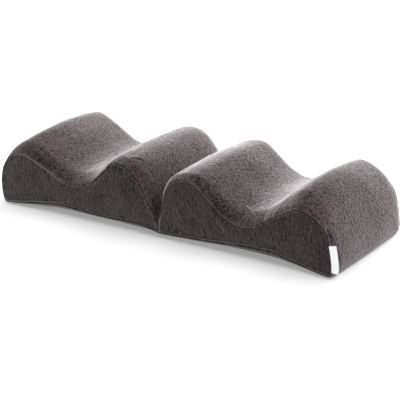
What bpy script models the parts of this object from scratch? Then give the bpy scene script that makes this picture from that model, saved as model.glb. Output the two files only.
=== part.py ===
"""A double leg pillow that lies open: two foam halves under one tight velour cover.

X runs along the pillow, Y across it from front to back, and Z up. The origin is on the floor, under
the middle of the fold. Each half has an inner hump beside the fold, a saddle for a leg and an outer
hump. One base panel lies under both halves and is the cloth hinge between them.
"""

import math
from bisect import bisect_right
from collections import namedtuple

import bmesh
import bpy
from mathutils import Vector

# Driving dimensions, in metres
WIDTH = 0.170             # from the front top seam to the back top seam
PANEL = 0.002             # the base panel's cloth with its backing
GAP = 0.0003              # between pieces that touch
SEAM_PROUD = 0.0009       # how far the top seam stands out of the side panel
SEAM_FOOT = 0.0025        # from the top seam down to the flat of the side panel
SIDE_BULGE = 0.0028       # how far a tall side panel swells at its middle
BULGE_FULL_HEIGHT = 0.070   # a side panel as tall as this swells in full
CROWN = 0.36              # share of the swell that the crown across the width takes
BACK_ROUND_MORE = 0.006   # the strip's back edge is rounded this much deeper than its front edge
FOLD_DRAWN_IN = 0.004     # how far the fold draws the side seams in at its foot
FOLD_ROWS = 5             # rows of the strip's table over which that fades out
END_ROWS = 4              # rows of the strip's table that make the end face
END_RISE = 0.0035         # height of the base seam along the foot of an end face
END_ROUND = 0.005         # radius of the base's edge there, seen from the front

LABEL_LOW = 0.0085        # height of the tag's foot
LABEL_HIGH = 0.0425       # and of its head
LABEL_REACH = 0.0100      # how far the folded tag stands out of the seam
LABEL_THICK = 0.0011      # its two layers together
LABEL_CLEAR = 0.0011      # from the seam to the tag's inner edge
LABEL_TURN_LOW = 10.0     # its direction at the foot, in degrees from +X towards +Y
LABEL_TURN_HIGH = 42.0    # and at its head
LABEL_FOLD = 0.35         # its thickness at the outer fold, as a share of the full thickness
LABEL_FOLD_POWER = 8      # the higher, the later the thickness drops towards that fold

HALF_WIDTH = WIDTH / 2
INSET = PANEL + GAP       # from the base's outer face to the foam half above it

# The top strip of each half, from the foot of the fold face to the foot of the end face. "along" is
# the distance from the fold and "up" the height, both on the side seam. "swell_along" and "swell_up"
# are the way from the seam to the middle of the width, and "round" is how deep the strip's long edge
# is rounded. The two halves differ a little, as the foam and the cover pull them.
StripRow = namedtuple("StripRow", "place along up swell_along swell_up round")
LEFT_STRIP = [StripRow(*row) for row in (
    ("fold foot",      0.00015, 0.0075,  0.0000, 0.0000, 0.036),
    ("fold touch",     0.00015, 0.0165,  0.0000, 0.0002, 0.030),
    ("fold opens",     0.0046, 0.0303, -0.0037, 0.0025, 0.024),
    ("fold face",      0.0128, 0.0455, -0.0092, 0.0055, 0.018),
    ("fold face head", 0.0202, 0.0609, -0.0088, 0.0100, 0.013),
    ("inner shoulder", 0.0308, 0.0752, -0.0065, 0.0118, 0.011),
    ("inner rise",     0.0420, 0.0852, -0.0036, 0.0098, 0.011),
    ("inner crest",    0.0555, 0.0892, -0.0008, 0.0078, 0.011),
    ("inner brow",     0.0684, 0.0866,  0.0018, 0.0075, 0.011),
    ("inner fall",     0.0823, 0.0726,  0.0048, 0.0114, 0.011),
    ("saddle inner",   0.1036, 0.0546,  0.0036, 0.0136, 0.011),
    ("saddle",         0.1298, 0.0478,  0.0002, 0.0144, 0.011),
    ("saddle outer",   0.1522, 0.0508, -0.0027, 0.0142, 0.011),
    ("outer foot",     0.1695, 0.0590, -0.0051, 0.0142, 0.011),
    ("outer rise",     0.1873, 0.0670, -0.0050, 0.0195, 0.011),
    ("outer crest",    0.2121, 0.0763, -0.0017, 0.0216, 0.011),
    ("outer brow",     0.2318, 0.0717,  0.0035, 0.0115, 0.011),
    ("end head",       0.2468, 0.0550,  0.0052, 0.0055, 0.011),
    ("end face",       0.2534, 0.0362,  0.0046, 0.0018, 0.011),
    ("end low",        0.2542, 0.0163,  0.0035, 0.0005, 0.010),
    ("end foot",       0.2520, 0.0038,  0.0025, 0.0000, 0.008),
)]
RIGHT_STRIP = [StripRow(*row) for row in (
    ("fold foot",      0.00015, 0.0075,  0.0000, 0.0000, 0.036),
    ("fold touch",     0.00015, 0.0155,  0.0000, 0.0002, 0.030),
    ("fold opens",     0.0050, 0.0303, -0.0037, 0.0024, 0.024),
    ("fold face",      0.0106, 0.0454, -0.0088, 0.0052, 0.018),
    ("fold face head", 0.0150, 0.0616, -0.0087, 0.0074, 0.013),
    ("inner shoulder", 0.0239, 0.0771, -0.0066, 0.0075, 0.011),
    ("inner rise",     0.0349, 0.0841, -0.0035, 0.0079, 0.011),
    ("inner crest",    0.0466, 0.0864, -0.0004, 0.0096, 0.011),
    ("inner brow",     0.0600, 0.0836,  0.0021, 0.0116, 0.011),
    ("inner fall",     0.0770, 0.0691,  0.0043, 0.0152, 0.011),
    ("saddle inner",   0.0979, 0.0527,  0.0028, 0.0168, 0.011),
    ("saddle",         0.1240, 0.0434, -0.0008, 0.0180, 0.011),
    ("saddle outer",   0.1519, 0.0493, -0.0031, 0.0159, 0.011),
    ("outer foot",     0.1689, 0.0602, -0.0048, 0.0144, 0.011),
    ("outer rise",     0.1859, 0.0688, -0.0057, 0.0197, 0.011),
    ("outer crest",    0.2060, 0.0783, -0.0018, 0.0217, 0.011),
    ("outer brow",     0.2306, 0.0696,  0.0016, 0.0165, 0.011),
    ("end head",       0.2436, 0.0555,  0.0035, 0.0020, 0.011),
    ("end face",       0.2486, 0.0358,  0.0052, 0.0010, 0.011),
    ("end low",        0.2506, 0.0155,  0.0038, 0.0005, 0.010),
    ("end foot",       0.2496, 0.0038,  0.0028, 0.0000, 0.008),
)]
FINAL_ROW = len(LEFT_STRIP) - 1

# The base seam of each half, and the base's rounded long edge under it. "drawn_in" is how far the
# seam lies inside the top seam, and "curve_in" how far in the base has come down flat.
BaseRow = namedtuple("BaseRow", "along left_up right_up drawn_in curve_in")
BASE = [BaseRow(*row) for row in (
    (0.000, 0.0072, 0.0072, 0.0040, 0.036),
    (0.014, 0.0110, 0.0076, 0.0038, 0.034),
    (0.032, 0.0134, 0.0092, 0.0037, 0.032),
    (0.060, 0.0130, 0.0106, 0.0040, 0.036),
    (0.090, 0.0120, 0.0128, 0.0040, 0.045),
    (0.120, 0.0130, 0.0156, 0.0036, 0.044),
    (0.150, 0.0148, 0.0170, 0.0030, 0.040),
    (0.167, 0.0146, 0.0171, 0.0028, 0.038),
    (0.186, 0.0120, 0.0138, 0.0024, 0.033),
    (0.206, 0.0090, 0.0100, 0.0018, 0.027),
    (0.225, 0.0060, 0.0064, 0.0010, 0.020),
    (0.241, 0.0041, 0.0042, 0.0003, 0.012),
    (0.260, 0.0035, 0.0035, 0.0000, 0.008),
)]

# Each half has its own strip, its own column of base seam heights, and its side of the fold.
Half = namedtuple("Half", "node strip base_up sign")
LEFT = Half("half_left", LEFT_STRIP, "left_up", -1)
RIGHT = Half("half_right", RIGHT_STRIP, "right_up", 1)

# Steps of the meshes
STEPS_PER_ROW = 2                         # along the top strip, between two rows of its table
EDGE_TURNS = (0, 8, 22, 42, 65, 90)       # degrees round a long edge, from the seam inwards
MIDDLE_PARTS = (-0.5, 0.0, 0.5)           # stations between the two rounded edges
END_TURNS = (60, 30, 0)                   # degrees round the base's edge under an end face
SIDE_PARTS = (0.28, 0.52, 0.76, 0.95)     # rows of a side panel, from the top seam to the base seam
LABEL_ROWS = 8
LABEL_COLUMNS = 6
HALVINGS = 30                             # of the search for the seam at a height
SHARP_ANGLE = 40                          # degrees between two faces that look like an edge
STRIP_STEPS = STEPS_PER_ROW * FINAL_ROW
PLAIN_STEPS = STRIP_STEPS - len(END_TURNS)

# A station is one section across the pillow. "side" runs from -1 at the front to 1 at the back, "out"
# is the share of the edge's rounding that still lies ahead, and "full" the share of the swell reached.
Station = namedtuple("Station", "side out full")


def edge_station(side, turn):
    """Give the station at an angle round the front or the back edge."""
    return Station(side, side * math.cos(math.radians(turn)), math.sin(math.radians(turn)))


STATIONS = [edge_station(-1, turn) for turn in EDGE_TURNS]
STATIONS += [Station(part, 0.0, 1.0) for part in MIDDLE_PARTS]
STATIONS += [edge_station(1, turn) for turn in reversed(EDGE_TURNS)]


def smooth_value(knots, values, at):
    """Read a smooth curve through values at rising knots."""
    final = len(knots) - 1
    span = min(max(bisect_right(knots, at) - 1, 0), final - 1)

    def slope(index):
        low, high = max(index - 1, 0), min(index + 1, final)
        return (values[high] - values[low]) / (knots[high] - knots[low])

    step = knots[span + 1] - knots[span]
    part = (at - knots[span]) / step
    square, cube = part ** 2, part ** 3
    return ((2 * cube - 3 * square + 1) * values[span]
            + (cube - 2 * square + part) * step * slope(span)
            + (3 * square - 2 * cube) * values[span + 1]
            + (cube - square) * step * slope(span + 1))


def strip_value(half, column, at):
    """Read one column of a half's strip, where 'at' counts the rows."""
    return smooth_value(range(FINAL_ROW + 1), [getattr(row, column) for row in half.strip], at)


def base_value(column, along):
    """Read one column of the base's table at a distance from the fold."""
    return smooth_value([row.along for row in BASE], [getattr(row, column) for row in BASE], along)


def strip_point(half, at, station):
    """Give a point of the top strip, at a row of its table and a station across the width."""
    rounding = strip_value(half, "round", at)
    if station.side > 0:
        rounding += BACK_ROUND_MORE * min(1, at / FOLD_ROWS, (FINAL_ROW - at) / END_ROWS)
    edge = HALF_WIDTH - FOLD_DRAWN_IN * max(0, 1 - at / FOLD_ROWS) ** 2
    across = station.side * (edge - rounding) + station.out * rounding
    swell = station.full * (1 - CROWN * (across / HALF_WIDTH) ** 2)
    along = strip_value(half, "along", at) + swell * strip_value(half, "swell_along", at)
    up = strip_value(half, "up", at) + swell * strip_value(half, "swell_up", at)
    if station.full == 0 and 0 < at < FINAL_ROW:
        across += station.side * SEAM_PROUD
    return Vector((half.sign * max(GAP / 2, along), across, up))


def base_point(half, column, station, inset):
    """Give a point of the base at one of its columns, a little inside its outer face."""
    flat_reach = abs(strip_point(half, FINAL_ROW, station).x) - END_ROUND
    if column <= PLAIN_STEPS:
        along = max(GAP / 2, column / PLAIN_STEPS * flat_reach)
        end_rise = 0.0
    else:
        turn = math.radians(END_TURNS[column - PLAIN_STEPS - 1])
        along = flat_reach + (END_ROUND - inset) * math.cos(turn)
        end_rise = (END_RISE - inset) * (1 - math.sin(turn))
    curve_in = base_value("curve_in", along)
    edge = HALF_WIDTH - base_value("drawn_in", along)
    across = station.side * (edge - curve_in) + station.out * (curve_in - inset)
    seam_up = base_value(half.base_up, along)
    up = inset + (seam_up - inset) * (1 - station.full) + station.full * end_rise
    return Vector((half.sign * along, across, up))


def ledge_point(half, column, station, inset):
    """Give a point of the foam half's underside, which keeps the gap over the base panel's rim."""
    point = base_point(half, column, station, inset)
    if station.full == 0 or column == STRIP_STEPS:
        point.z += GAP
    return point


def side_panel(mesh, top, foot, side):
    """Fill a side with a panel that swells between its top seam and its base seam."""
    previous = [top[0]]
    for index in range(1, STRIP_STEPS + 1):
        column = [top[index]]
        if index < STRIP_STEPS:
            high, low = top[index].co, foot[index].co
            height = (high - low).length
            bulge = SIDE_BULGE * min(1, height / BULGE_FULL_HEIGHT) ** 2
            parts = (min(SEAM_FOOT / height, SIDE_PARTS[0] / 2),) + SIDE_PARTS
            for part in parts:
                point = high.lerp(low, part)
                point.y = low.y + (high.y - side * SEAM_PROUD - low.y) * (1 - part)
                point.y += side * bulge * 4 * part * (1 - part)
                column.append(mesh.verts.new(point))
            column.append(foot[index])
        tall, short = (column, previous) if len(column) > len(previous) else (previous, column)
        if len(short) == 1:
            for low, high in zip(tall, tall[1:]):
                mesh.faces.new((short[0], low, high))
        else:
            for near, far in zip(range(len(tall) - 1), range(1, len(tall))):
                mesh.faces.new((previous[near], previous[far], column[far], column[near]))
        previous = column


def half_mesh(half):
    """Build one foam half under its top strip and its two side panels."""
    mesh = bmesh.new()
    strip_rows = [step / STEPS_PER_ROW for step in range(STRIP_STEPS + 1)]
    strips, unders = [], []
    for station in STATIONS:
        strips.append([mesh.verts.new(strip_point(half, at, station)) for at in strip_rows[1:]])
        unders.append([mesh.verts.new(ledge_point(half, column, station, INSET))
                       for column in range(STRIP_STEPS + 1)])
    seams = {}
    for place in (0, len(STATIONS) - 1):
        seam = [mesh.verts.new(ledge_point(half, column, STATIONS[place], 0.0))
                for column in range(STRIP_STEPS)]
        seams[place] = seam + [strips[place][-1]]

    for place in range(len(STATIONS) - 1):
        loops = [strips[index] + unders[index][::-1] for index in (place, place + 1)]
        for step in range(len(loops[0]) - 1):
            mesh.faces.new((loops[0][step], loops[0][step + 1], loops[1][step + 1], loops[1][step]))
        corner = [loops[0][-1], loops[0][0], loops[1][0], loops[1][-1]]
        if place == 0:
            corner.insert(1, seams[place][0])
        if place + 1 in seams:
            corner.insert(3, seams[place + 1][0])
        mesh.faces.new(corner)

    for place, seam in seams.items():
        for step in range(STRIP_STEPS):
            mesh.faces.new((seam[step], seam[step + 1], unders[place][step + 1], unders[place][step]))
        side_panel(mesh, [seam[0]] + strips[place], seam, STATIONS[place].side)
    return mesh


def base_mesh():
    """Build the base panel as one sheet, turned up along its edges and whole across the fold."""
    mesh = bmesh.new()
    places = [(LEFT, column) for column in range(STRIP_STEPS, 0, -1)]
    places += [(RIGHT, column) for column in range(STRIP_STEPS + 1)]
    faces = []
    for inset in (0.0, PANEL):
        faces.append([[mesh.verts.new(base_point(*place, station, inset)) for station in STATIONS]
                      for place in places])
    last_place, last_station = len(places) - 1, len(STATIONS) - 1
    for grid in faces:
        for row in range(last_place):
            for step in range(last_station):
                mesh.faces.new((grid[row][step], grid[row + 1][step],
                                grid[row + 1][step + 1], grid[row][step + 1]))
    outer, inner = faces
    for row in range(last_place):
        for step in (0, last_station):
            mesh.faces.new((outer[row][step], outer[row + 1][step],
                            inner[row + 1][step], inner[row][step]))
    for step in range(last_station):
        for row in (0, last_place):
            mesh.faces.new((outer[row][step], outer[row][step + 1],
                            inner[row][step + 1], inner[row][step]))
    return mesh


def end_seam_along(up):
    """Give the right half's front seam at a height on its end face."""
    first, last = FINAL_ROW - END_ROWS, FINAL_ROW
    for _ in range(HALVINGS):
        middle = (first + last) / 2
        if strip_value(RIGHT, "up", middle) > up:
            first = middle
        else:
            last = middle
    return strip_value(RIGHT, "along", first)


def label_mesh():
    """Build the blank folded tag that stands out of the upright seam at the near right corner."""
    mesh = bmesh.new()
    grids = ([], [])
    for row in range(LABEL_ROWS + 1):
        part = row / LABEL_ROWS
        up = LABEL_LOW + (LABEL_HIGH - LABEL_LOW) * part
        turn = math.radians(LABEL_TURN_LOW + (LABEL_TURN_HIGH - LABEL_TURN_LOW) * part)
        start = Vector((end_seam_along(up) + LABEL_CLEAR, -HALF_WIDTH - SEAM_PROUD / 2, up))
        way = Vector((math.cos(turn), math.sin(turn), 0.0))
        normal = Vector((-way.y, way.x, 0.0)) * LABEL_THICK / 2
        for grid, face in zip(grids, (-1, 1)):
            line = []
            for column in range(LABEL_COLUMNS + 1):
                out = column / LABEL_COLUMNS
                pinch = max(math.sqrt(1 - out ** LABEL_FOLD_POWER), LABEL_FOLD)
                line.append(mesh.verts.new(start + way * LABEL_REACH * out + normal * face * pinch))
            grid.append(line)
    front, back = grids
    for grid in grids:
        for row in range(LABEL_ROWS):
            for column in range(LABEL_COLUMNS):
                mesh.faces.new((grid[row][column], grid[row][column + 1],
                                grid[row + 1][column + 1], grid[row + 1][column]))
    for row in range(LABEL_ROWS):
        for column in (0, LABEL_COLUMNS):
            mesh.faces.new((front[row][column], front[row + 1][column],
                            back[row + 1][column], back[row][column]))
    for column in range(LABEL_COLUMNS):
        for row in (0, LABEL_ROWS):
            mesh.faces.new((front[row][column], front[row][column + 1],
                            back[row][column + 1], back[row][column]))
    return mesh


def cloth_material(name, colour, roughness):
    """Make a plain material for one cloth."""
    material = bpy.data.materials.new(name)
    material.use_nodes = True
    shader = material.node_tree.nodes["Principled BSDF"]
    shader.inputs["Base Color"].default_value = (*colour, 1.0)
    shader.inputs["Roughness"].default_value = roughness
    shader.inputs["Metallic"].default_value = 0.0
    return material


def add_piece(name, mesh, material):
    """Turn a finished mesh into a named object of the scene."""
    bmesh.ops.recalc_face_normals(mesh, faces=mesh.faces)
    bmesh.ops.triangulate(mesh, faces=mesh.faces)
    data = bpy.data.meshes.new(name)
    mesh.to_mesh(data)
    mesh.free()
    data.materials.append(material)
    data.shade_smooth()
    data.set_sharp_from_angle(angle=math.radians(SHARP_ANGLE))
    piece = bpy.data.objects.new(name, data)
    bpy.context.scene.collection.objects.link(piece)
    return piece


def main():
    """Build the pillow."""
    for old in list(bpy.data.objects):
        bpy.data.objects.remove(old)
    velour = cloth_material("velour", (0.105, 0.092, 0.088), 0.92)
    base_cloth = cloth_material("base velour", (0.080, 0.070, 0.068), 0.92)
    tag_ribbon = cloth_material("tag ribbon", (0.80, 0.82, 0.86), 0.55)
    for half in (LEFT, RIGHT):
        add_piece(half.node, half_mesh(half), velour)
    add_piece("base_panel", base_mesh(), base_cloth)
    add_piece("label", label_mesh(), tag_ribbon)


main()
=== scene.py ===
"""The looks of a double leg pillow in velour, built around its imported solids.

Each half is one foam cushion in its cover: a top strip that runs from the fold over both humps to
the end, two side panels, and the underside that lies in the base panel. The surfaces follow the
same rows as the solids and get the seams, gathers, creases and pile that the solids leave out.
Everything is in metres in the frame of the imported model: X along the pillow, Y from front to back,
Z up.
"""

import math
from collections import namedtuple

import bmesh
import bpy
import numpy as np
from bpy.props import FloatProperty, FloatVectorProperty, PointerProperty
from mathutils import Matrix, Vector, noise


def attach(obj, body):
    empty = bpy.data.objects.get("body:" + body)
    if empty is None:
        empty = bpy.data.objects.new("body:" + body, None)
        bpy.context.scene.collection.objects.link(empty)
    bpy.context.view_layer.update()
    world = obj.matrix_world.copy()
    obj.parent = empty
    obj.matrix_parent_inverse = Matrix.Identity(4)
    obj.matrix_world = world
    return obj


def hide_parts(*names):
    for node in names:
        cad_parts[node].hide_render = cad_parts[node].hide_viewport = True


bl_info = {
    "name": "Leg Pillow",
    "version": (1, 0, 0),
    "blender": (4, 5, 0),
    "location": "3D View > Sidebar > Pillow",
    "description": "Dresses the solids of a double leg pillow in velour and sets its studio",
    "category": "Object",
}

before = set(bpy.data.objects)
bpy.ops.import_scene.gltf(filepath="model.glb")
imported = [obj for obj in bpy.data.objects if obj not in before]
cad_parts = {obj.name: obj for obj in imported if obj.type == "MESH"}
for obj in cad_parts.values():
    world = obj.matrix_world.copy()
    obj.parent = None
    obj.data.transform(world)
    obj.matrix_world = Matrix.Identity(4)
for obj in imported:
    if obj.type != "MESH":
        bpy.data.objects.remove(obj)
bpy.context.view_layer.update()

MM = 0.001
WIDTH = 0.170               # from the front top seam to the back top seam
HALF_WIDTH = WIDTH / 2
PANEL = 2.0 * MM            # the base panel's thickness
GAP = 0.3 * MM              # between a half and the base panel
INSET = PANEL + GAP
CROWN = 0.36                # share of the swell that the crown across the width takes
BACK_ROUND_MORE = 6 * MM    # what the back top edge is rounded more than the front one
SIDE_BULGE = 2.8 * MM       # of a side panel where it is as high as the next value
BULGE_FULL_HEIGHT = 70 * MM
FOLD_DRAWN_IN = 4 * MM      # how far the width draws in at the fold
FOLD_ROWS = 5               # rows of the strip's table over which that fades
END_ROWS = 4                # rows before the end's foot over which the back's rounding fades
END_TURN_ROWS = 1.5         # rows before the end's foot where the base turns up
END_RISE = 3.5 * MM
END_ROUND = 5 * MM

# The top strip of each half, as its solid has it, from the foot of the fold face to the foot of the
# end face, in metres on the side seam, with the swell from there to the middle of the width.
StripRow = namedtuple("StripRow", "place along up swell_along swell_up round")
LEFT_STRIP = [StripRow(*row) for row in (
    ("fold foot",      0.00015, 0.0075,  0.0000, 0.0000, 0.036),
    ("fold touch",     0.00015, 0.0165,  0.0000, 0.0002, 0.030),
    ("fold opens",     0.0046, 0.0303, -0.0037, 0.0025, 0.024),
    ("fold face",      0.0128, 0.0455, -0.0092, 0.0055, 0.018),
    ("fold face head", 0.0202, 0.0609, -0.0088, 0.0100, 0.013),
    ("inner shoulder", 0.0308, 0.0752, -0.0065, 0.0118, 0.011),
    ("inner rise",     0.0420, 0.0852, -0.0036, 0.0098, 0.011),
    ("inner crest",    0.0555, 0.0892, -0.0008, 0.0078, 0.011),
    ("inner brow",     0.0684, 0.0866,  0.0018, 0.0075, 0.011),
    ("inner fall",     0.0823, 0.0726,  0.0048, 0.0114, 0.011),
    ("saddle inner",   0.1036, 0.0546,  0.0036, 0.0136, 0.011),
    ("saddle",         0.1298, 0.0478,  0.0002, 0.0144, 0.011),
    ("saddle outer",   0.1522, 0.0508, -0.0027, 0.0142, 0.011),
    ("outer foot",     0.1695, 0.0590, -0.0051, 0.0142, 0.011),
    ("outer rise",     0.1873, 0.0670, -0.0050, 0.0195, 0.011),
    ("outer crest",    0.2121, 0.0763, -0.0017, 0.0216, 0.011),
    ("outer brow",     0.2318, 0.0717,  0.0035, 0.0115, 0.011),
    ("end head",       0.2468, 0.0550,  0.0052, 0.0055, 0.011),
    ("end face",       0.2534, 0.0362,  0.0046, 0.0018, 0.011),
    ("end low",        0.2542, 0.0163,  0.0035, 0.0005, 0.010),
    ("end foot",       0.2520, 0.0038,  0.0025, 0.0000, 0.008),
)]
RIGHT_STRIP = [StripRow(*row) for row in (
    ("fold foot",      0.00015, 0.0075,  0.0000, 0.0000, 0.036),
    ("fold touch",     0.00015, 0.0155,  0.0000, 0.0002, 0.030),
    ("fold opens",     0.0050, 0.0303, -0.0037, 0.0024, 0.024),
    ("fold face",      0.0106, 0.0454, -0.0088, 0.0052, 0.018),
    ("fold face head", 0.0150, 0.0616, -0.0087, 0.0074, 0.013),
    ("inner shoulder", 0.0239, 0.0771, -0.0066, 0.0075, 0.011),
    ("inner rise",     0.0349, 0.0841, -0.0035, 0.0079, 0.011),
    ("inner crest",    0.0466, 0.0864, -0.0004, 0.0096, 0.011),
    ("inner brow",     0.0600, 0.0836,  0.0021, 0.0116, 0.011),
    ("inner fall",     0.0770, 0.0691,  0.0043, 0.0152, 0.011),
    ("saddle inner",   0.0979, 0.0527,  0.0028, 0.0168, 0.011),
    ("saddle",         0.1240, 0.0434, -0.0008, 0.0180, 0.011),
    ("saddle outer",   0.1519, 0.0493, -0.0031, 0.0159, 0.011),
    ("outer foot",     0.1689, 0.0602, -0.0048, 0.0144, 0.011),
    ("outer rise",     0.1859, 0.0688, -0.0057, 0.0197, 0.011),
    ("outer crest",    0.2060, 0.0783, -0.0018, 0.0217, 0.011),
    ("outer brow",     0.2306, 0.0696,  0.0016, 0.0165, 0.011),
    ("end head",       0.2436, 0.0555,  0.0035, 0.0020, 0.011),
    ("end face",       0.2486, 0.0358,  0.0052, 0.0010, 0.011),
    ("end low",        0.2506, 0.0155,  0.0038, 0.0005, 0.010),
    ("end foot",       0.2496, 0.0038,  0.0028, 0.0000, 0.008),
)]
FINAL_ROW = len(LEFT_STRIP) - 1

# The base seam of each half, and how far in from its edge the base has come down flat.
BaseRow = namedtuple("BaseRow", "along left_up right_up drawn_in curve_in")
BASE = [BaseRow(*row) for row in (
    (0.000, 0.0072, 0.0072, 0.0040, 0.036),
    (0.014, 0.0110, 0.0076, 0.0038, 0.034),
    (0.032, 0.0134, 0.0092, 0.0037, 0.032),
    (0.060, 0.0130, 0.0106, 0.0040, 0.036),
    (0.090, 0.0120, 0.0128, 0.0040, 0.045),
    (0.120, 0.0130, 0.0156, 0.0036, 0.044),
    (0.150, 0.0148, 0.0170, 0.0030, 0.040),
    (0.167, 0.0146, 0.0171, 0.0028, 0.038),
    (0.186, 0.0120, 0.0138, 0.0024, 0.033),
    (0.206, 0.0090, 0.0100, 0.0018, 0.027),
    (0.225, 0.0060, 0.0064, 0.0010, 0.020),
    (0.241, 0.0041, 0.0042, 0.0003, 0.012),
    (0.260, 0.0035, 0.0035, 0.0000, 0.008),
)]

# How much the cover is gathered along the front seam, by the rows of the strip's table.
GatherRow = namedtuple("GatherRow", "at left right")
GATHERS = [GatherRow(*row) for row in (
    (0.0, 0.2, 0.2),
    (4.0, 0.2, 0.2),
    (6.0, 0.5, 0.3),
    (7.5, 1.0, 0.3),
    (9.0, 0.4, 0.3),
    (10.5, 0.8, 0.6),
    (11.5, 0.8, 0.9),
    (13.5, 0.4, 0.8),
    (14.8, 0.4, 1.0),
    (16.0, 0.5, 0.7),
    (18.0, 0.3, 0.4),
    (20.0, 0.2, 0.2),
)]

# Longer creases in the strips. "at" counts the rows of the strip's table and "inward" is the
# distance from the front seam. A positive height is a ridge, a negative one a trough.
Crease = namedtuple("Crease", "node at_a inward_a at_b inward_b width height")
CREASES = [Crease(*row) for row in (
    ("half_right", 15.1, 0.011, 15.6, 0.013, 0.0014, -0.0008),
    ("half_right", 15.2, 0.0085, 15.9, 0.0095, 0.0014, 0.0008),
    ("half_right", 15.8, 0.0095, 16.6, 0.0045, 0.0013, 0.0008),
    ("half_right", 15.8, 0.0065, 16.5, 0.0022, 0.0012, -0.0007),
    ("half_right", 16.7, 0.0040, 17.8, 0.0040, 0.0026, -0.0015),
    ("half_right", 17.8, 0.0102, 19.8, 0.0198, 0.0014, -0.0011),
    ("half_right", 10.7, 0.0320, 11.3, 0.0230, 0.0011, 0.0009),
    ("half_right", 10.1, 0.0700, 10.8, 0.0460, 0.0011, 0.0008),
    ("half_right", 13.1, 0.0100, 13.6, 0.0030, 0.0012, 0.0009),
    ("half_right", 13.5, 0.0110, 14.1, 0.0040, 0.0012, -0.0009),
    ("half_right", 13.8, 0.0120, 14.4, 0.0050, 0.0012, 0.0009),
    ("half_right", 14.3, 0.0110, 14.8, 0.0040, 0.0012, 0.0008),
    ("half_left", 6.85, 0.0270, 7.3, 0.0540, 0.0012, 0.0010),
    ("half_left", 6.60, 0.0310, 6.9, 0.0520, 0.0011, -0.0006),
    ("half_left", 6.60, 0.0150, 6.3, 0.0260, 0.0012, 0.0009),
    ("half_left", 6.30, 0.0250, 5.7, 0.0300, 0.0012, 0.0009),
    ("half_left", 6.10, 0.0180, 5.8, 0.0250, 0.0012, -0.0006),
    ("half_left", 6.2, 0.0120, 7.4, 0.0160, 0.0013, 0.0007),
    ("half_left", 9.9, 0.0100, 10.4, 0.0030, 0.0012, 0.0008),
    ("half_left", 10.6, 0.0110, 11.1, 0.0030, 0.0012, 0.0008),
    ("half_left", 13.2, 0.0150, 14.6, 0.0130, 0.0013, 0.0006),
)]

# "base_up" and "gather" name the half's columns in the tables above, and "sign" is its side of the
# fold. "tight" is the row of the strip where the tight cover rounds the front edge widest. The next
# value is the row where the side's top seam is painted paler, as a highlight, and the strip beside
# it darker, as painted shade. "fold_lip" says how much the side panels stand up at the seam beside
# the fold, and how strong the painted highlight on that lip is.
Half = namedtuple("Half", "node strip base_up gather sign tight loose fold_lip")
LEFT = Half("half_left", LEFT_STRIP, "left_up", "left", -1, 9.4, 13.6, 0.3)
RIGHT = Half("half_right", RIGHT_STRIP, "right_up", "right", 1, 14.0, 9.2, 1.0)
TIGHT_ROWS = 2.8            # reach of the wide rounding, in rows of the strip's table
WIDER = 1.7                 # share that the edge's rounding gains there
SEAM_SHADING_ROWS = 2.2            # reach of that seam's painted highlight and shade, in rows of the strip's table
FOLD_LIP_ROWS = 6.0         # rows from the fold over which the side's lip fades
FOLD_SHADE_ROWS = 3.5     # rows from the fold over which the strip is painted darker, as the shade in the fold

# What the cloth does beside its seams: how far the middle of each form lies from the seam line, and
# how far it reaches to each side. The base forms lie at the side panels' lower seam.
Form = namedtuple("Form", "middle reach")
SEAM_CALM = Form(0, 1.5 * MM)           # pebbles, creases and unevenness fade here
STRIP_LIP, STRIP_GROOVE = Form(1.6 * MM, 0.8 * MM), Form(0, 0.75 * MM)
# The second of these is only a band of painted shade beside the seam
STRIP_PUCKER, STRIP_SHADE_BAND = Form(3.0 * MM, 5.0 * MM), Form(6.0 * MM, 6.0 * MM)
SIDE_LIP, SIDE_GROOVE = Form(1.2 * MM, 0.7 * MM), Form(0, 0.5 * MM)
# The second of these is only a band of painted highlight on the side's top seam
SIDE_PUCKER, SIDE_HIGHLIGHT_BAND = Form(3.0 * MM, 6.0 * MM), Form(0.9 * MM, 0.9 * MM)
FOLD_LIP = Form(2.4 * MM, 1.6 * MM)
BASE_LIP, BASE_GROOVE = Form(1.4 * MM, 0.9 * MM), Form(0, 0.6 * MM)
# Only a band of painted highlight on the side's base seam
BASE_HIGHLIGHT_BAND = Form(1.3 * MM, 0.7 * MM)
RIM_LIP, RIM_GROOVE = Form(1.7 * MM, 0.9 * MM), Form(0, 0.5 * MM)
RIM_LIFT = 0.6 * MM                     # how far the base panel's rim stands out

# How strongly the strip and the side panels take the cover's sizes, as shares of them
STRIP_LIP_SHARE = 0.7
SIDE_GATHER_SHARE = 0.7
SIDE_SAG_SHARE = 0.8
SIDE_PEBBLE_SHARE = 0.35
SIDE_STREAK_SHARE = 0.5
BASE_LIP_SHARE = 0.8

# Sizes of the lumps in the cloth, and how steeply the pebbles fall away from their ridges
STRIP_FOLD_SIZE = 3.0 * MM
SIDE_FOLD_SIZE = 3.4 * MM
STREAK_SIZE = 2.2 * MM
STRIP_SAG_SIZE = 38 * MM
SIDE_SAG_SIZE = 26 * MM
PEBBLE_FALL = 2.6

# Painted light and shade that these forms put into the colour. A value above 0 paints the cloth
# paler, as a highlight, and one below 0 paints it darker, as shade. The velour reads the sum from
# the mesh as "relief".
PaintedShading = namedtuple("PaintedShading", "lip groove pucker crease loose fold base", defaults=(0.0,) * 7)
STRIP_PAINTED_SHADING = PaintedShading(lip=0.5, groove=-4.0, pucker=1.6, crease=2.2, loose=-1.6, fold=-2.6)
SIDE_PAINTED_SHADING = PaintedShading(lip=2.2, groove=-3.5, pucker=1.6, loose=9.0, fold=3.5, base=4.5)
RIM_PAINTED_SHADING = PaintedShading(lip=2.5, groove=-3.5)

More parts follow.
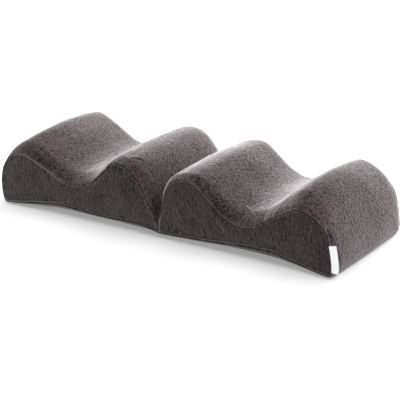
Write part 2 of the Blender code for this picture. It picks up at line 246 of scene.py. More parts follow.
# Steps of the meshes. The steps near a seam are short, so that its lips and groove show.
GRID = 1.15 * MM
SEAM_STEPS = [step * MM for step in (0.35, 0.35, 0.35, 0.4, 0.45, 0.5, 0.6, 0.7, 0.8, 0.9)]
EDGE_ROUND = 11 * MM
PANEL_MIDDLE_STEPS = 22
SHORT_PANEL = 18 * MM
UNDER_TURNS = (0, 10, 25, 45, 68, 90)
PANEL_TURNS = (0, 2, 4, 6, 8, 10, 13, 16, 20, 25, 31, 38, 46, 55, 64, 73, 82, 90)
UNDER_PARTS = (-0.5, 0.0, 0.5)
PANEL_STEPS = 40            # of the base panel's middle, across its width
PANEL_ROWS = 240            # of the base panel from the fold to an end
STRIP_SLOT, SIDE_SLOT = 0, 1  # a cushion's two cloths; the other pieces start with the first

# The tag stands out of the right end's upright seam, from its foot to its head
TAG_FOOT, TAG_HEAD = 10.0 * MM, 42.4 * MM
TAG_REACH = 8.8 * MM
TAG_THICK = 0.9 * MM        # of its two layers
TAG_DROOP = 0.10            # how far its foot hangs, as a share of the way out
TAG_OFF_SEAM = 0.6 * MM     # at its head
TAG_FOOT_OFF_MORE = 0.8 * MM
TAG_FORWARD = 1.0 * MM      # in front of the top seam
TAG_TURN, TAG_TWIST = 8, 22  # degrees that it turns to the back at its foot, and more at its head
TAG_WAVE = 0.25 * MM
TAG_WAVE_ANGLE = 5.0        # radians of the wave from foot to head
TAG_ROWS, TAG_COLUMNS = 36, 20
TAG_EASE_COLUMNS = 2.5      # over which its fold and its sewn edge thin out

# The camera looks along the photo's direction, at a point of the plane through the seam line
VIEW_AZIMUTH = 34.954
VIEW_ELEVATION = 20.634
VIEW_ROLL = -1.613
VIEW_DISTANCE = 1.96925
VIEW_TARGET = Vector((0.007895, 0.0, 0.025879))
VIEW_LENS = 137.34          # mm, on a sensor of the next width
SENSOR_WIDTH = 36.0

# The studio: a floor, a low wall all round it, and softboxes that face the pillow's middle
STAGE_REACH = 8.0
WALL_UP = 1.8
WALL_STEPS = 64
FLOOR_GLOW, WALL_GLOW = 0.28, 0.9
LIT_POINT = Vector((0.0, 0.0, 0.05))
Softbox = namedtuple("Softbox", "name place size power")
SOFTBOXES = [Softbox(*row) for row in (
    ("back softbox", (0.0, 2.4, 0.45), 0.8, 115),
    ("overhead softbox", (0.0, 0.0, 2.2), 3.0, 48),
    ("left softbox", (-2.2, 0.3, 0.9), 1.0, 14),
    ("right softbox", (1.5, 0.2, 1.3), 1.2, 8),
)]


def linear(hex_colour):
    """Turn an sRGB hex colour into linear red, green and blue."""
    parts = [int(hex_colour[place:place + 2], 16) / 255 for place in (1, 3, 5)]
    return tuple(part / 12.92 if part <= 0.04045 else ((part + 0.055) / 1.055) ** 2.4
                 for part in parts)


def rgba(hex_colour):
    """Turn an sRGB hex colour into the four linear values that a node's socket takes."""
    return (*linear(hex_colour), 1.0)


class CoverSizes(bpy.types.PropertyGroup):
    """Sizes of the cover's seams and surface."""

    lip: FloatProperty(
        name="Seam lip", description="How far the cloth stands up beside a seam",
        default=1.0 * MM, min=0.0, unit="LENGTH")
    groove: FloatProperty(
        name="Seam groove", description="How far a seam line is drawn in",
        default=0.9 * MM, min=0.0, unit="LENGTH")
    gather: FloatProperty(
        name="Gather", description="Height of the small folds where a seam is gathered",
        default=0.8 * MM, min=0.0, unit="LENGTH")
    pebble: FloatProperty(
        name="Pebble", description="Height of the cover's pebbled relief",
        default=0.20 * MM, min=0.0, unit="LENGTH")
    pebble_size: FloatProperty(
        name="Pebble size", description="From one pebble to the next",
        default=3.0 * MM, min=0.5 * MM, unit="LENGTH")
    sag: FloatProperty(
        name="Unevenness", description="Height of the soft unevenness of foam and cover",
        default=0.6 * MM, min=0.0, unit="LENGTH")


class ClothColours(bpy.types.PropertyGroup):
    """Colours of the cloths."""

    strip: FloatVectorProperty(
        name="Top velour", description="The pile of the top strips, seen straight on",
        subtype="COLOR", size=3, min=0.0, max=1.0, default=linear("#3b3132"))
    # Darker than the top velour, as painted shade on the side panels
    side: FloatVectorProperty(
        name="Side velour", description="The pile of the side panels, seen straight on",
        subtype="COLOR", size=3, min=0.0, max=1.0, default=linear("#261f1f"))
    base: FloatVectorProperty(
        name="Base velour", description="The base panel's cloth",
        subtype="COLOR", size=3, min=0.0, max=1.0, default=linear("#241f20"))
    tag: FloatVectorProperty(
        name="Tag", description="The blank woven tag",
        subtype="COLOR", size=3, min=0.0, max=1.0, default=linear("#fdfdff"))


def smooth_value(knots, values, at):
    """Read a smooth curve through values at rising knots."""
    knots, values = np.array(knots, float), np.array(values, float)
    final = len(knots) - 1
    index = np.arange(final + 1)
    low, high = np.maximum(index - 1, 0), np.minimum(index + 1, final)
    slopes = (values[high] - values[low]) / (knots[high] - knots[low])
    span = np.clip(np.searchsorted(knots, at, side="right") - 1, 0, final - 1)
    step = knots[span + 1] - knots[span]
    part = (at - knots[span]) / step
    square, cube = part ** 2, part ** 3
    return ((2 * cube - 3 * square + 1) * values[span]
            + (cube - 2 * square + part) * step * slopes[span]
            + (3 * square - 2 * cube) * values[span + 1]
            + (cube - square) * step * slopes[span + 1])


def strip_value(half, column, at):
    """Read one column of a half's strip, where 'at' counts the rows."""
    return smooth_value(range(FINAL_ROW + 1), [getattr(row, column) for row in half.strip], at)


def base_value(column, along):
    """Read one column of the base's table at distances from the fold."""
    return smooth_value([row.along for row in BASE], [getattr(row, column) for row in BASE], along)


def bell(distance, centre, width):
    """Give a smooth bump of height 1."""
    return np.exp(-((distance - centre) / width) ** 2)


def strip_points(half, at, side, out, full, wider=0.0):
    """Give points of the top strip, at rows of its table and stations across the width."""
    fade = np.clip(np.minimum(at / FOLD_ROWS, (FINAL_ROW - at) / END_ROWS), 0, 1)
    rounding = strip_value(half, "round", at) + np.where(side > 0, BACK_ROUND_MORE, 0) * fade
    rounding = rounding * np.where(side < 0, 1 + wider, 1)
    edge = HALF_WIDTH - FOLD_DRAWN_IN * np.maximum(0, 1 - at / FOLD_ROWS) ** 2
    across = side * (edge - rounding) + out * rounding
    swell = full * (1 - CROWN * (across / HALF_WIDTH) ** 2)
    along = strip_value(half, "along", at) + swell * strip_value(half, "swell_along", at)
    up = strip_value(half, "up", at) + swell * strip_value(half, "swell_up", at)
    return np.stack([half.sign * np.maximum(GAP / 2, along), across, up], axis=-1)


def base_points(half, at, side, out, full, inset):
    """Give points of the base under those of the strip, a little inside its outer face."""
    flat_reach = np.abs(strip_points(half, 0 * at + FINAL_ROW, side, out, full)[..., 0]) - END_ROUND
    plain = FINAL_ROW - END_TURN_ROWS
    turn = np.radians(90 * np.clip((at - plain) / (FINAL_ROW - plain), 0, 1))
    along = np.maximum(GAP / 2, np.minimum(at / plain, 1) * flat_reach)
    along = along + (END_ROUND - inset) * np.sin(turn)
    end_rise = (END_RISE - inset) * (1 - np.cos(turn))
    curve_in = base_value("curve_in", along)
    edge = HALF_WIDTH - base_value("drawn_in", along)
    across = side * (edge - curve_in) + out * (curve_in - inset)
    seam_up = base_value(half.base_up, along)
    up = inset + (seam_up - inset) * (1 - full) + full * end_rise
    return np.stack([half.sign * along, across, up], axis=-1)


def strip_stations(turns, parts):
    """Give side, out and full of stations round the front edge, over the middle, round the back."""
    turns = np.array(turns)
    side = np.concatenate([-np.ones(len(turns)), parts, np.ones(len(turns))])
    out = np.concatenate([-np.cos(turns), np.zeros(len(parts)), np.cos(turns[::-1])])
    full = np.concatenate([np.sin(turns), np.ones(len(parts)), np.sin(turns[::-1])])
    return side[None, :], out[None, :], full[None, :]


def fine_stations():
    """Give the stations of the visible strip, close together beside the seams."""
    distances = list(np.cumsum([0.0] + SEAM_STEPS))
    quarter = EDGE_ROUND * math.pi / 2
    while distances[-1] < quarter - 1.5 * GRID:
        distances.append(distances[-1] + GRID)
    distances.append(quarter)
    middle = 2 * (HALF_WIDTH - EDGE_ROUND)
    count = round(middle / GRID)
    parts = [-1 + 2 * step / count for step in range(1, count)]
    return strip_stations([distance / EDGE_ROUND for distance in distances], parts)


def strip_rows(half):
    """Give rows of the strip's table that lie one grid step apart along its middle."""
    tries = np.linspace(0, FINAL_ROW, 200 * FINAL_ROW + 1)[:, None]
    one = np.ones((1, 1))
    line = strip_points(half, tries, 0 * one, 0 * one, one)[:, 0]
    length = np.concatenate([[0], np.cumsum(np.linalg.norm(np.diff(line, axis=0), axis=1))])
    count = round(length[-1] / GRID)
    return np.interp(np.linspace(0, length[-1], count + 1), length, tries[:, 0])


def lumps(points, size):
    """Give smooth noise from -1 to 1 at points, with lumps of about this size."""
    flat = (points / size).reshape(-1, 3).tolist()
    return np.array([noise.noise(place) for place in flat]).reshape(points.shape[:-1])


def pebbles(points, size):
    """Give thin ridges of height 1 round pebbles of about this size, with lower cloth between."""
    return 1 - PEBBLE_FALL * np.abs(lumps(points, size))


def gather_share(half, at):
    """Read how much a half's cover is gathered at rows of the strip's table."""
    return smooth_value([row.at for row in GATHERS],
                        [getattr(row, half.gather) for row in GATHERS], at)


def run_length(points, axis):
    """Give the distance walked along a grid's rows or columns."""
    steps = np.linalg.norm(np.diff(points, axis=axis), axis=-1)
    start = np.zeros_like(np.take(steps, [0], axis=axis))
    return np.concatenate([start, np.cumsum(steps, axis=axis)], axis=axis)


def grid_normals(points, outward):
    """Give the unit normals of a grid, on the side that 'outward' points to at its middle."""
    normals = np.cross(np.gradient(points, axis=0), np.gradient(points, axis=1))
    normals /= np.maximum(np.linalg.norm(normals, axis=-1, keepdims=True), 1e-12)
    middle = normals[normals.shape[0] // 2, normals.shape[1] // 2]
    return normals if np.dot(middle, outward) > 0 else -normals


def crease_height(half, rows, at, inward):
    """Give the height of all creases of a half at rows of the strip and distances from its seam."""
    walked = np.interp(at, rows.at, rows.length)
    total = np.zeros(np.broadcast(walked, inward).shape)
    for crease in CREASES:
        if crease.node != half.node:
            continue
        start = np.array([np.interp(crease.at_a, rows.at, rows.length), crease.inward_a])
        way = np.array([np.interp(crease.at_b, rows.at, rows.length), crease.inward_b]) - start
        part = ((walked - start[0]) * way[0] + (inward - start[1]) * way[1]) / (way @ way)
        part = np.clip(part, 0, 1)
        away = np.hypot(walked - start[0] - part * way[0], inward - start[1] - part * way[1])
        total = total + crease.height * bell(away, 0, crease.width) * np.sin(np.pi * part) ** 0.6
    return total


Rows = namedtuple("Rows", "at length")
Patch = namedtuple("Patch", "points uv relief material")


def dressed_strip(half, rows, sizes):
    """Build the visible top strip with its seam lips, gathers, creases and pebbled relief."""
    side, out, full = fine_stations()
    at = rows.at[:, None]
    points = strip_points(half, at, side, out, full, WIDER * bell(at, half.tight, TIGHT_ROWS))
    normals = grid_normals(points, (0, 0, 1))
    across = run_length(points, 1)
    inward = np.minimum(across, across[:, -1:] - across)
    front = across <= across[:, -1:] / 2

    along = np.broadcast_to(rows.length[:, None], across.shape)
    cloth = np.stack([along, across, 0 * across + half.sign], axis=-1)
    # Folds run in from the seam, and are shifted so that they don't repeat the pebbles
    folds = lumps(cloth * (1, 0.3, 1) + (0, 0, 7), STRIP_FOLD_SIZE)
    pebble = pebbles(cloth * (0.75, 1.0, 1.0), sizes.pebble_size)
    calm = 1 - bell(inward, *SEAM_CALM)

    lip, groove = bell(inward, *STRIP_LIP), bell(inward, *STRIP_GROOVE)
    pucker = gather_share(half, at) * folds * bell(inward, *STRIP_PUCKER)
    creases = np.where(front, crease_height(half, rows, at, inward), 0) * calm
    height = STRIP_LIP_SHARE * sizes.lip * lip - sizes.groove * groove + sizes.gather * pucker
    height = height + creases
    height = height + sizes.sag * lumps(points, STRIP_SAG_SIZE) * calm
    height = height + sizes.pebble * pebble * calm
    points = points + normals * height[..., None]

    # Painted light and shade in the colour: paler on pebble ridges, the seam's lip, pucker tops and
    # crease ridges, darker in pebble hollows, the seam's groove, pucker hollows, crease troughs,
    # beside the seam at the half's given row and near the fold
    pile = STRIP_PAINTED_SHADING
    loose = bell(at, half.loose, SEAM_SHADING_ROWS)
    relief = pebble * calm + pile.lip * lip + pile.groove * groove + pile.pucker * pucker
    relief = relief + pile.crease * creases / MM
    relief = relief + pile.loose * loose * bell(inward, *STRIP_SHADE_BAND)
    relief = relief + pile.fold * np.clip(1 - at / FOLD_SHADE_ROWS, 0, 1)
    return Patch(points, cloth[..., :2], relief, STRIP_SLOT)


def panel_parts(height):
    """Give the rows of side panels as shares of their heights, close together at both seams."""
    near = np.cumsum([0.0] + SEAM_STEPS)
    scale = np.minimum(1, height / SHORT_PANEL)[:, None]
    near = near[None, :] * scale / np.maximum(height, 1e-9)[:, None]
    middle = np.linspace(0, 1, PANEL_MIDDLE_STEPS + 1)[None, 1:-1]
    between = near[:, -1:] + (1 - 2 * near[:, -1:]) * middle
    return np.concatenate([near, between, 1 - near[:, ::-1]], axis=1)


def dressed_side(half, rows, top, side, sizes):
    """Build a visible side panel between its top seam and its base seam."""
    at = rows.at[:, None]
    station = np.full((1, 1), float(side))
    high = strip_points(half, at, station, station, 0 * station)[:, 0]
    low = base_points(half, at, station, station, 0 * station, 0.0)[:, 0]
    low[:, 2] += GAP
    height = np.maximum(np.linalg.norm(high - low, axis=1), 1e-9)
    parts = panel_parts(height)
    bulge = SIDE_BULGE * np.minimum(1, height / BULGE_FULL_HEIGHT)[:, None] ** 2
    points = high[:, None] + (low - high)[:, None] * parts[..., None]
    points[..., 1] += side * bulge * 4 * parts * (1 - parts)

    scale = np.minimum(1, height / SHORT_PANEL)[:, None]
    below, above = parts * height[:, None], (1 - parts) * height[:, None]
    cloth = points * (1, 0, 1) + (0, side, 0)
    # The side's cloth is drawn out upwards, and its folds are shifted off its pebbles too
    streaks = lumps(cloth * (1, 1, 0.22), STREAK_SIZE)
    pebble = pebbles(cloth * (1, 1, 0.6), sizes.pebble_size)
    folds = lumps(cloth * (1, 1, 0.25) + (0, 0, 3), SIDE_FOLD_SIZE)
    calm = (1 - bell(below, *SEAM_CALM)) * (1 - bell(above, *SEAM_CALM))

    near_fold = np.clip(1 - at / FOLD_LIP_ROWS, 0, 1)
    fold_lip = half.fold_lip * near_fold * bell(below, *FOLD_LIP)
    lips = bell(below, *SIDE_LIP) + BASE_LIP_SHARE * bell(above, *BASE_LIP) + fold_lip
    grooves = bell(below, *SIDE_GROOVE) + bell(above, *BASE_GROOVE)
    pucker = gather_share(half, at) * folds * bell(below, *SIDE_PUCKER)
    sag = SIDE_SAG_SHARE * sizes.sag * lumps(points * (1, 1, 0.5), SIDE_SAG_SIZE)
    surface = sizes.pebble * (SIDE_PEBBLE_SHARE * pebble + SIDE_STREAK_SHARE * streaks)
    lift = sizes.lip * lips - sizes.groove * grooves + SIDE_GATHER_SHARE * sizes.gather * pucker
    lift = lift + sag * calm + surface * calm
    points[..., 1] += side * lift * scale
    points[:, 0] = top

    # Painted light and shade in the colour: paler on pebble ridges, the seam lips, pucker tops, the
    # top seam at the half's given row, the lip beside the fold and the base seam; darker in pebble
    # hollows, pucker hollows and the grooves
    pile = SIDE_PAINTED_SHADING
    loose = bell(at, half.loose, SEAM_SHADING_ROWS)
    relief = pebble * calm + pile.lip * lips + pile.groove * grooves + pile.pucker * pucker
    relief = relief + pile.loose * loose * bell(below, *SIDE_HIGHLIGHT_BAND) + pile.fold * fold_lip
    relief = relief + pile.base * bell(above, *BASE_HIGHLIGHT_BAND)
    return Patch(points, cloth[..., ::2], relief, SIDE_SLOT)


def underside(half, rows, seams):
    """Build the underside that lies in the base panel, with the ledge over the panel's rim."""
    turns = [math.radians(turn) for turn in UNDER_TURNS]
    side, out, full = strip_stations(turns, UNDER_PARTS)
    points = base_points(half, rows.at[:, None], side, out, full, INSET)
    points[:, [0, -1], 2] += GAP
    points[-1, 1:-1, 2] += GAP
    points = np.concatenate([seams[0][:, None], points, seams[1][:, None]], axis=1)
    return Patch(points, points[..., :2], 0 * points[..., 0], SIDE_SLOT)


def bridge_rows(fine, coarse):
    """Join a row of many points to a row of few with one face for each step of the few."""
    faces = []
    steps = len(coarse) - 1
    for step in range(steps):
        first = round(step * (len(fine) - 1) / steps)
        last = round((step + 1) * (len(fine) - 1) / steps)
        faces.append([coarse[step + 1], coarse[step], *fine[first:last + 1]])
    return faces


def sewn_mesh(name, patches, materials, bridges=None):
    """Sew grids of points, and any bridging faces, into one closed mesh with cloth coordinates."""
    points = np.concatenate([patch.points.reshape(-1, 3) for patch in patches])
    uv = np.concatenate([patch.uv.reshape(-1, 2) for patch in patches])
    relief = np.concatenate([patch.relief.ravel() for patch in patches])
    faces, slots, starts = [], [], [0]
    for patch in patches:
        rows, columns = patch.points.shape[:2]
        index = starts[-1] + np.arange(rows * columns).reshape(rows, columns)
        starts.append(starts[-1] + rows * columns)
        quads = np.stack([index[:-1, :-1], index[1:, :-1], index[1:, 1:], index[:-1, 1:]], axis=-1)
        faces += quads.reshape(-1, 4).tolist()
        slots += [patch.material] * ((rows - 1) * (columns - 1))
    for bridge in (bridges(starts) if bridges else []):
        faces += bridge
        slots += [SIDE_SLOT] * len(bridge)
    data = bpy.data.meshes.new(name)
    data.from_pydata(points.tolist(), [], faces)
    for material in materials:
        data.materials.append(material)
    data.polygons.foreach_set("material_index", slots)
    layer = data.uv_layers.new(name="cloth")
    corners = np.empty(len(data.loops), int)
    data.loops.foreach_get("vertex_index", corners)
    layer.data.foreach_set("uv", uv[corners].astype(np.float32).ravel())
    # The relief attribute carries the painted light and shade that the velour mixes into its colour
    data.attributes.new("relief", "FLOAT", "POINT").data.foreach_set("value", relief)

    mesh = bmesh.new()
    mesh.from_mesh(data)
    bmesh.ops.remove_doubles(mesh, verts=mesh.verts, dist=0.02 * MM)
    bmesh.ops.recalc_face_normals(mesh, faces=mesh.faces)
    mesh.to_mesh(data)
    mesh.free()
    data.shade_smooth()
    piece = bpy.data.objects.new(name, data)
    bpy.context.scene.collection.objects.link(piece)
    return piece


def add_node(tree, kind, settings=None, **links):
    """Add a node, set its properties and inputs, and link inputs that are given as sockets."""
    node = tree.nodes.new(kind)
    for key, value in (settings or {}).items():
        setattr(node, key, value)
    for key, value in links.items():
        socket = node.inputs[int(key[1:])] if key[0] == "i" and key[1:].isdigit() else None
        socket = socket or node.inputs[key.replace("_", " ")]
        if isinstance(value, bpy.types.NodeSocket):
            tree.links.new(value, socket)
        else:
            socket.default_value = value
    return node


def new_material(name):
    """Make an empty node material, and return it with its tree and its output."""
    material = bpy.data.materials.new(name)
    material.use_nodes = True
    material.node_tree.nodes.clear()
    output = material.node_tree.nodes.new("ShaderNodeOutputMaterial")
    return material, material.node_tree, output


def velour_material(name, colour, stretch, painted_sheen_share):
    """Make a short-pile velour with a curly emboss: dull and dark straight on, pale at its edges by
    its sheen and by a painted sheen in its colour.

    'stretch' draws the curls out along the cloth, and the last argument is how strong the painted
    sheen is.
    """
    material, tree, output = new_material(name)
    cloth = add_node(tree, "ShaderNodeUVMap", {"uv_map": "cloth"}).outputs["UV"]
    drawn = add_node(tree, "ShaderNodeMapping", Vector=cloth, Scale=stretch).outputs["Vector"]
    # Tufts of the pile are 0.3 mm apart, drawn 1 mm apart so that they show
    tufts = add_node(tree, "ShaderNodeTexNoise", Vector=cloth, Scale=1 / (1.0 * MM), Detail=1.0,
                     Roughness=0.6).outputs["Fac"]
    # Curls of the emboss, about 3 mm apart: thin paler lines where the noise crosses its middle
    swirl = add_node(tree, "ShaderNodeTexNoise", Vector=drawn, Scale=1 / (3.0 * MM), Detail=1.0,
                     Roughness=0.5, Distortion=0.8).outputs["Fac"]
    swirl = add_node(tree, "ShaderNodeMath", {"operation": "SUBTRACT"}, i0=swirl, i1=0.5).outputs[0]
    swirl = add_node(tree, "ShaderNodeMath", {"operation": "ABSOLUTE"}, i0=swirl).outputs[0]
    curls = add_node(tree, "ShaderNodeMapRange", Value=swirl, From_Min=0.0, From_Max=0.11,
                     To_Min=1.0, To_Max=0.0).outputs["Result"]
    # Patches where a hand has turned the nap, about 40 mm wide
    patches = add_node(tree, "ShaderNodeTexNoise", Vector=cloth, Scale=1 / (40 * MM), Detail=2.0
                       ).outputs["Fac"]
    # Painted light and shade from the mesh: paler on its ridges and lips, darker in its hollows and
    # grooves
    relief = add_node(tree, "ShaderNodeAttribute", {"attribute_name": "relief"}).outputs["Fac"]
    # Add them up, each round its own middle, to how far the colour lies from deep to pale; the
    # mesh's relief brings painted light and shade into it
    share = 0.05
    for source, weight, middle in ((curls, 0.9, 0.0), (tufts, 1.0, 0.5), (patches, 0.5, 0.5),
                                   (relief, 0.2, 0.0)):
        share = add_node(tree, "ShaderNodeMath", {"operation": "MULTIPLY_ADD"}, i0=source,
                         i1=weight, i2=share).outputs[0]
        share = add_node(tree, "ShaderNodeMath", {"operation": "SUBTRACT"}, i0=share,
                         i1=weight * middle).outputs[0]
    share = add_node(tree, "ShaderNodeClamp", Value=share).outputs[0]
    deep = tuple(0.2 * part for part in colour)
    pale = tuple(min(1.0, 3.4 * part) for part in colour)
    shade = add_node(tree, "ShaderNodeMix", {"data_type": "RGBA"}, i0=share, i6=(*deep, 1.0),
                     i7=(*pale, 1.0)).outputs[2]
    # A painted highlight, pale grey, where the mesh's painted light is strongest: on the lit seams
    seam_highlight = add_node(tree, "ShaderNodeMapRange", Value=relief, From_Min=3.0, From_Max=8.0,
                      To_Min=0.0, To_Max=1.0).outputs["Result"]
    shade = add_node(tree, "ShaderNodeMix", {"data_type": "RGBA"}, i0=seam_highlight, i6=shade,
                     i7=rgba("#867e80")).outputs[2]
    # A painted sheen: the colour turns paler the further the cloth turns away from the view, and
    # more where the pile is paler
    facing = add_node(tree, "ShaderNodeLayerWeight", Blend=0.5).outputs["Facing"]
    painted_sheen = add_node(tree, "ShaderNodeMath", {"operation": "POWER"}, i0=facing, i1=6.0).outputs[0]
    lifted = add_node(tree, "ShaderNodeMapRange", Value=share, From_Min=0.0, From_Max=1.0,
                      To_Min=0.5 * painted_sheen_share, To_Max=1.1 * painted_sheen_share).outputs["Result"]
    painted_sheen = add_node(tree, "ShaderNodeMath", {"operation": "MULTIPLY"}, i0=painted_sheen,
                    i1=lifted).outputs[0]
    shade = add_node(tree, "ShaderNodeMix", {"data_type": "RGBA"}, i0=painted_sheen, i6=shade,
                     i7=rgba("#fff8fa")).outputs[2]
    emboss = add_node(tree, "ShaderNodeBump", Height=curls, Distance=0.45 * MM, Strength=0.8)
    pile = add_node(tree, "ShaderNodeBump", Height=tufts, Distance=0.35 * MM, Strength=0.6,
                    Normal=emboss.outputs[0])
    shader = add_node(tree, "ShaderNodeBsdfPrincipled", Base_Color=shade, Roughness=0.9,
                      Specular_IOR_Level=0.15, Sheen_Weight=1.0, Sheen_Roughness=0.35,
                      Sheen_Tint=rgba("#f9f2f5"), Normal=pile.outputs[0])
    tree.links.new(shader.outputs[0], output.inputs[0])
    return material


def ribbon_material(name, colour):
    """Make a blank tag of woven satin ribbon: smooth, a little glossy, with fine weft lines."""
    material, tree, output = new_material(name)
    cloth = add_node(tree, "ShaderNodeUVMap", {"uv_map": "cloth"}).outputs["UV"]
    # Weft threads are 0.15 mm apart, drawn 0.5 mm apart so that they show
    weft = add_node(tree, "ShaderNodeTexWave", {"bands_direction": "Y"}, Vector=cloth,
                    Scale=1 / (0.5 * MM * 2 * math.pi), Distortion=0.6, Detail=1.0).outputs["Fac"]
    shade = add_node(tree, "ShaderNodeMix", {"data_type": "RGBA"}, i0=weft,
                     i6=(*[0.92 * part for part in colour], 1.0), i7=(*colour, 1.0)).outputs[2]
    threads = add_node(tree, "ShaderNodeBump", Height=weft, Distance=0.08 * MM, Strength=0.5)
    # A faint painted glow stands in for the brightener in white ribbon, which gives back a little
    # more light than it gets
    shader = add_node(tree, "ShaderNodeBsdfPrincipled", Base_Color=shade, Roughness=0.45,
                      Sheen_Weight=0.2, Emission_Color=rgba("#f6f9ff"), Emission_Strength=0.1,
                      Normal=threads.outputs[0])
    tree.links.new(shader.outputs[0], output.inputs[0])
    return material


def build_half(half):
    """Build one half of the pillow as a closed cushion in its cover."""
    sizes, colours = bpy.context.scene.cover_sizes, bpy.context.scene.cloth_colours
    at = strip_rows(half)
    one = np.ones((1, 1))
    line = strip_points(half, at[:, None], 0 * one, 0 * one, one)
    rows = Rows(at, run_length(line, 0)[:, 0])
    strip = dressed_strip(half, rows, sizes)
    sides = [dressed_side(half, rows, strip.points[:, place], side, sizes)
             for place, side in ((0, -1), (-1, 1))]
    under = underside(half, rows, [panel.points[:, -1] for panel in sides])

    def ends(starts):
        """Close the foot and the head, between the strip's edge and the underside's."""
        columns = strip.points.shape[1]
        below = under.points.shape[1]
        foot = [starts[0] + place for place in range(columns)]
        head = [starts[1] - columns + place for place in range(columns)]
        base_foot = [starts[3] + place for place in range(below)]
        base_head = [starts[4] - below + place for place in range(below)]
        return [bridge_rows(foot, base_foot), bridge_rows(head, base_head)]

    materials = [
        velour_material(f"{half.node} velour top strip", colours.strip, (1.0, 0.8, 1.0), 1.0),
        velour_material(f"{half.node} velour side panels", colours.side, (1.15, 0.45, 1.0), 0.4)]
    cushion = sewn_mesh(f"{half.node}_cushion", [strip, *sides, under], materials, ends)
    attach(cushion, "root")
    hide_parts(half.node)


def build_base_panel():
    """Build the base panel as one sheet, turned up at its edges and whole across the fold."""
    colours = bpy.context.scene.cloth_colours
    parts = np.linspace(-1, 1, PANEL_STEPS + 1)[1:-1]
    side, out, full = strip_stations(np.radians(PANEL_TURNS), parts)
    at = np.linspace(0, FINAL_ROW, PANEL_ROWS)[:, None]
    layers = []
    for inset in (0.0, PANEL):
        left = base_points(LEFT, at, side, out, full, inset)
        right = base_points(RIGHT, at, side, out, full, inset)
        layers.append(np.concatenate([left[:0:-1], right], axis=0))
    across = run_length(layers[0], 1)
    inward = np.minimum(across, across[:, -1:] - across)
    lip, groove = bell(inward, *RIM_LIP), bell(inward, *RIM_GROOVE)
    layers[0][..., 1] += np.sign(layers[0][..., 1]) * RIM_LIFT * lip
    # Painted light and shade on the rim: paler on its lip, darker in its groove
    relief = RIM_PAINTED_SHADING.lip * lip + RIM_PAINTED_SHADING.groove * groove
    patches = [Patch(layers[0], layers[0][..., :2], relief, STRIP_SLOT),
               Patch(layers[1], layers[1][..., :2], 0 * across, STRIP_SLOT)]
    rims = []
    for place in (0, -1):
        rims.append(np.stack([layers[0][:, place], layers[1][:, place]], axis=1))
        rims.append(np.stack([layers[0][place], layers[1][place]], axis=1))
    patches += [Patch(rim, rim[..., :2], 0 * rim[..., 0], STRIP_SLOT) for rim in rims]
    materials = [velour_material("base velour panel", colours.base, (1.0, 1.0, 1.0), 0.1),
                 velour_material("base velour panel ends", colours.strip, (1.0, 1.0, 1.0), 0.4)]
    panel = sewn_mesh("base_panel_cloth", patches, materials)
    ends = [bound(vertex.co.x for vertex in panel.data.vertices) for bound in (min, max)]
    for face in panel.data.polygons:
        face.material_index = int(min(abs(face.center.x - end) for end in ends) < END_ROUND)
    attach(panel, "root")
    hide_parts("base_panel")


def build_tag():
    """Build the blank folded tag that stands out of the near right corner's upright seam."""
    colours = bpy.context.scene.cloth_colours
    tries = np.linspace(FINAL_ROW - END_ROWS, FINAL_ROW, 400)
    heights = strip_value(RIGHT, "up", tries)
    places = strip_value(RIGHT, "along", tries)
    part = np.linspace(0, 1, TAG_ROWS + 1)[:, None]
    walk = np.linspace(-1, 1, 2 * TAG_COLUMNS + 1)[None, :]
    share_out = 1 - np.abs(walk)
    out = TAG_REACH * share_out
    up = TAG_FOOT + (TAG_HEAD - TAG_FOOT) * part - TAG_DROOP * (1 - part) * out
    seam = np.interp(-up, -heights, places) + TAG_OFF_SEAM + TAG_FOOT_OFF_MORE * (1 - part)
    turn = np.radians(TAG_TURN + TAG_TWIST * part)
    folded = np.minimum(1, np.abs(walk) * TAG_COLUMNS / TAG_EASE_COLUMNS) ** 0.5
    sewn = np.minimum(1, share_out * TAG_COLUMNS / TAG_EASE_COLUMNS) ** 0.5
    face = np.sign(walk) * TAG_THICK / 2 * folded * sewn
    offset = face + TAG_WAVE * np.sin(part * TAG_WAVE_ANGLE) * share_out
    x = seam + np.cos(turn) * out - np.sin(turn) * offset
    y = -HALF_WIDTH - TAG_FORWARD + np.sin(turn) * out + np.cos(turn) * offset
    points = np.stack([x, y, up], axis=-1)
    uv = np.stack([out + 0 * up, up], axis=-1)
    material = ribbon_material("tag woven satin ribbon", colours.tag)
    tag = sewn_mesh("tag", [Patch(points, uv, 0 * x, 0)], [material])
    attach(tag, "root")
    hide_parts("label")


def studio_material(name, glow):
    """Make the matt white paint of a lit studio: it gives off light, so that it stays white."""
    material, tree, output = new_material(name)
    shader = add_node(tree, "ShaderNodeBsdfPrincipled", Base_Color=rgba("#f3f3f3"), Roughness=0.8,
                      Specular_IOR_Level=0.1, Emission_Color=rgba("#ffffff"),
                      Emission_Strength=glow)
    tree.links.new(shader.outputs[0], output.inputs[0])
    return material


def add_stage_piece(name, points, faces, glow):
    data = bpy.data.meshes.new(name)
    data.from_pydata(points, [], faces)
    data.materials.append(studio_material(f"white studio {name}", glow))
    piece = bpy.data.objects.new(name, data)
    bpy.context.scene.collection.objects.link(piece)


def add_floor():
    """Add the square floor that the pillow lies on."""
    corners = [(x * STAGE_REACH, y * STAGE_REACH, 0.0)
               for x, y in ((-1, -1), (1, -1), (1, 1), (-1, 1))]
    add_stage_piece("floor", corners, [(0, 1, 2, 3)], FLOOR_GLOW)


def add_wall():
    """Add the low lit wall all round, whose light grazes the crests from behind."""
    turns = [step * math.tau / WALL_STEPS for step in range(WALL_STEPS)]
    ring = [(STAGE_REACH * math.cos(turn), STAGE_REACH * math.sin(turn)) for turn in turns]
    points = [(*place, up) for up in (0.0, WALL_UP) for place in ring]
    steps = [(step, (step + 1) % WALL_STEPS) for step in range(WALL_STEPS)]
    faces = [(here, following, following + WALL_STEPS, here + WALL_STEPS)
             for here, following in steps]
    add_stage_piece("wall", points, faces, WALL_GLOW)


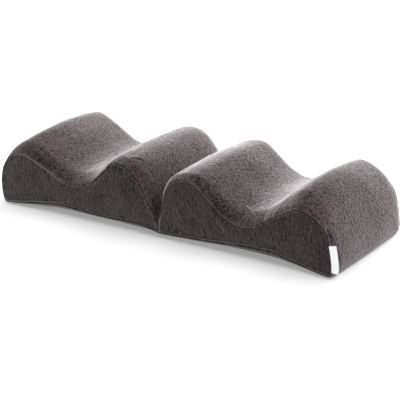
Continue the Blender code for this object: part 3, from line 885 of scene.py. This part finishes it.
def add_softbox(softbox):
    """Add a square softbox that faces the pillow."""
    data = bpy.data.lights.new(softbox.name, "AREA")
    data.size = softbox.size
    data.energy = softbox.power
    lamp = bpy.data.objects.new(softbox.name, data)
    lamp.location = softbox.place
    lamp.rotation_mode = "QUATERNION"
    lamp.rotation_quaternion = (LIT_POINT - Vector(softbox.place)).to_track_quat("-Z", "Y")
    bpy.context.scene.collection.objects.link(lamp)


def add_camera():
    """Add the camera at the photo's viewing angle."""
    azimuth, elevation, roll = (math.radians(angle)
                                for angle in (VIEW_AZIMUTH, VIEW_ELEVATION, VIEW_ROLL))
    back = Vector((math.sin(azimuth) * math.cos(elevation),
                   -math.cos(azimuth) * math.cos(elevation), math.sin(elevation)))
    level = Vector((math.cos(azimuth), math.sin(azimuth), 0.0))
    upward = back.cross(level)
    right = math.cos(roll) * level + math.sin(roll) * upward
    up = math.cos(roll) * upward - math.sin(roll) * level
    camera = bpy.data.objects.new("camera", bpy.data.cameras.new("camera"))
    camera.data.sensor_width = SENSOR_WIDTH
    camera.data.lens = VIEW_LENS
    camera.matrix_world = Matrix.Translation(VIEW_TARGET + back * VIEW_DISTANCE) @ Matrix(
        (right, up, back)).transposed().to_4x4()
    bpy.context.scene.collection.objects.link(camera)
    bpy.context.scene.camera = camera


def build_stage():
    """Build the white floor, the low wall, the soft lights and the camera, with no other light."""
    scene = bpy.context.scene
    scene.view_settings.view_transform = "Standard"
    scene.world = scene.world or bpy.data.worlds.new("studio")
    scene.world.use_nodes = True
    scene.world.node_tree.nodes["Background"].inputs["Strength"].default_value = 0.0
    add_floor()
    add_wall()
    for softbox in SOFTBOXES:
        add_softbox(softbox)
    add_camera()


class PILLOW_OT_halves(bpy.types.Operator):
    """Build both foam halves in their covers."""

    bl_idname = "pillow.halves"
    bl_label = "Build halves"

    def execute(self, context):
        for half in (LEFT, RIGHT):
            build_half(half)
        return {"FINISHED"}


class PILLOW_OT_base_panel(bpy.types.Operator):
    """Build the base panel."""

    bl_idname = "pillow.base_panel"
    bl_label = "Build base panel"

    def execute(self, context):
        build_base_panel()
        return {"FINISHED"}


class PILLOW_OT_tag(bpy.types.Operator):
    """Build the blank tag."""

    bl_idname = "pillow.tag"
    bl_label = "Build tag"

    def execute(self, context):
        build_tag()
        return {"FINISHED"}


class PILLOW_OT_stage(bpy.types.Operator):
    """Build the floor, the wall, the lights and the camera."""

    bl_idname = "pillow.stage"
    bl_label = "Build stage"

    def execute(self, context):
        build_stage()
        return {"FINISHED"}


class PILLOW_PT_parts(bpy.types.Panel):
    """List what the pillow is built from."""

    bl_label = "Leg Pillow"
    bl_space_type = "VIEW_3D"
    bl_region_type = "UI"
    bl_category = "Pillow"

    def draw(self, context):
        """Draw the sizes, the colours and a button for each operator."""
        for group in (context.scene.cover_sizes, context.scene.cloth_colours):
            for name in group.__annotations__:
                self.layout.prop(group, name)
        for operator in OPERATORS:
            self.layout.operator(operator.bl_idname)


OPERATORS = (PILLOW_OT_halves, PILLOW_OT_base_panel, PILLOW_OT_tag, PILLOW_OT_stage)
CLASSES = (CoverSizes, ClothColours, *OPERATORS, PILLOW_PT_parts)


def register():
    """Make the classes and their properties known to Blender."""
    for made in CLASSES:
        bpy.utils.register_class(made)
    bpy.types.Scene.cover_sizes = PointerProperty(type=CoverSizes)
    bpy.types.Scene.cloth_colours = PointerProperty(type=ClothColours)


def unregister():
    """Take them away again."""
    del bpy.types.Scene.cloth_colours
    del bpy.types.Scene.cover_sizes
    for made in reversed(CLASSES):
        bpy.utils.unregister_class(made)


def main():
    """Build the pillow and its stage."""
    register()
    bpy.ops.pillow.halves()
    bpy.ops.pillow.base_panel()
    bpy.ops.pillow.tag()
    bpy.ops.pillow.stage()


if __name__ == "__main__":
    main()
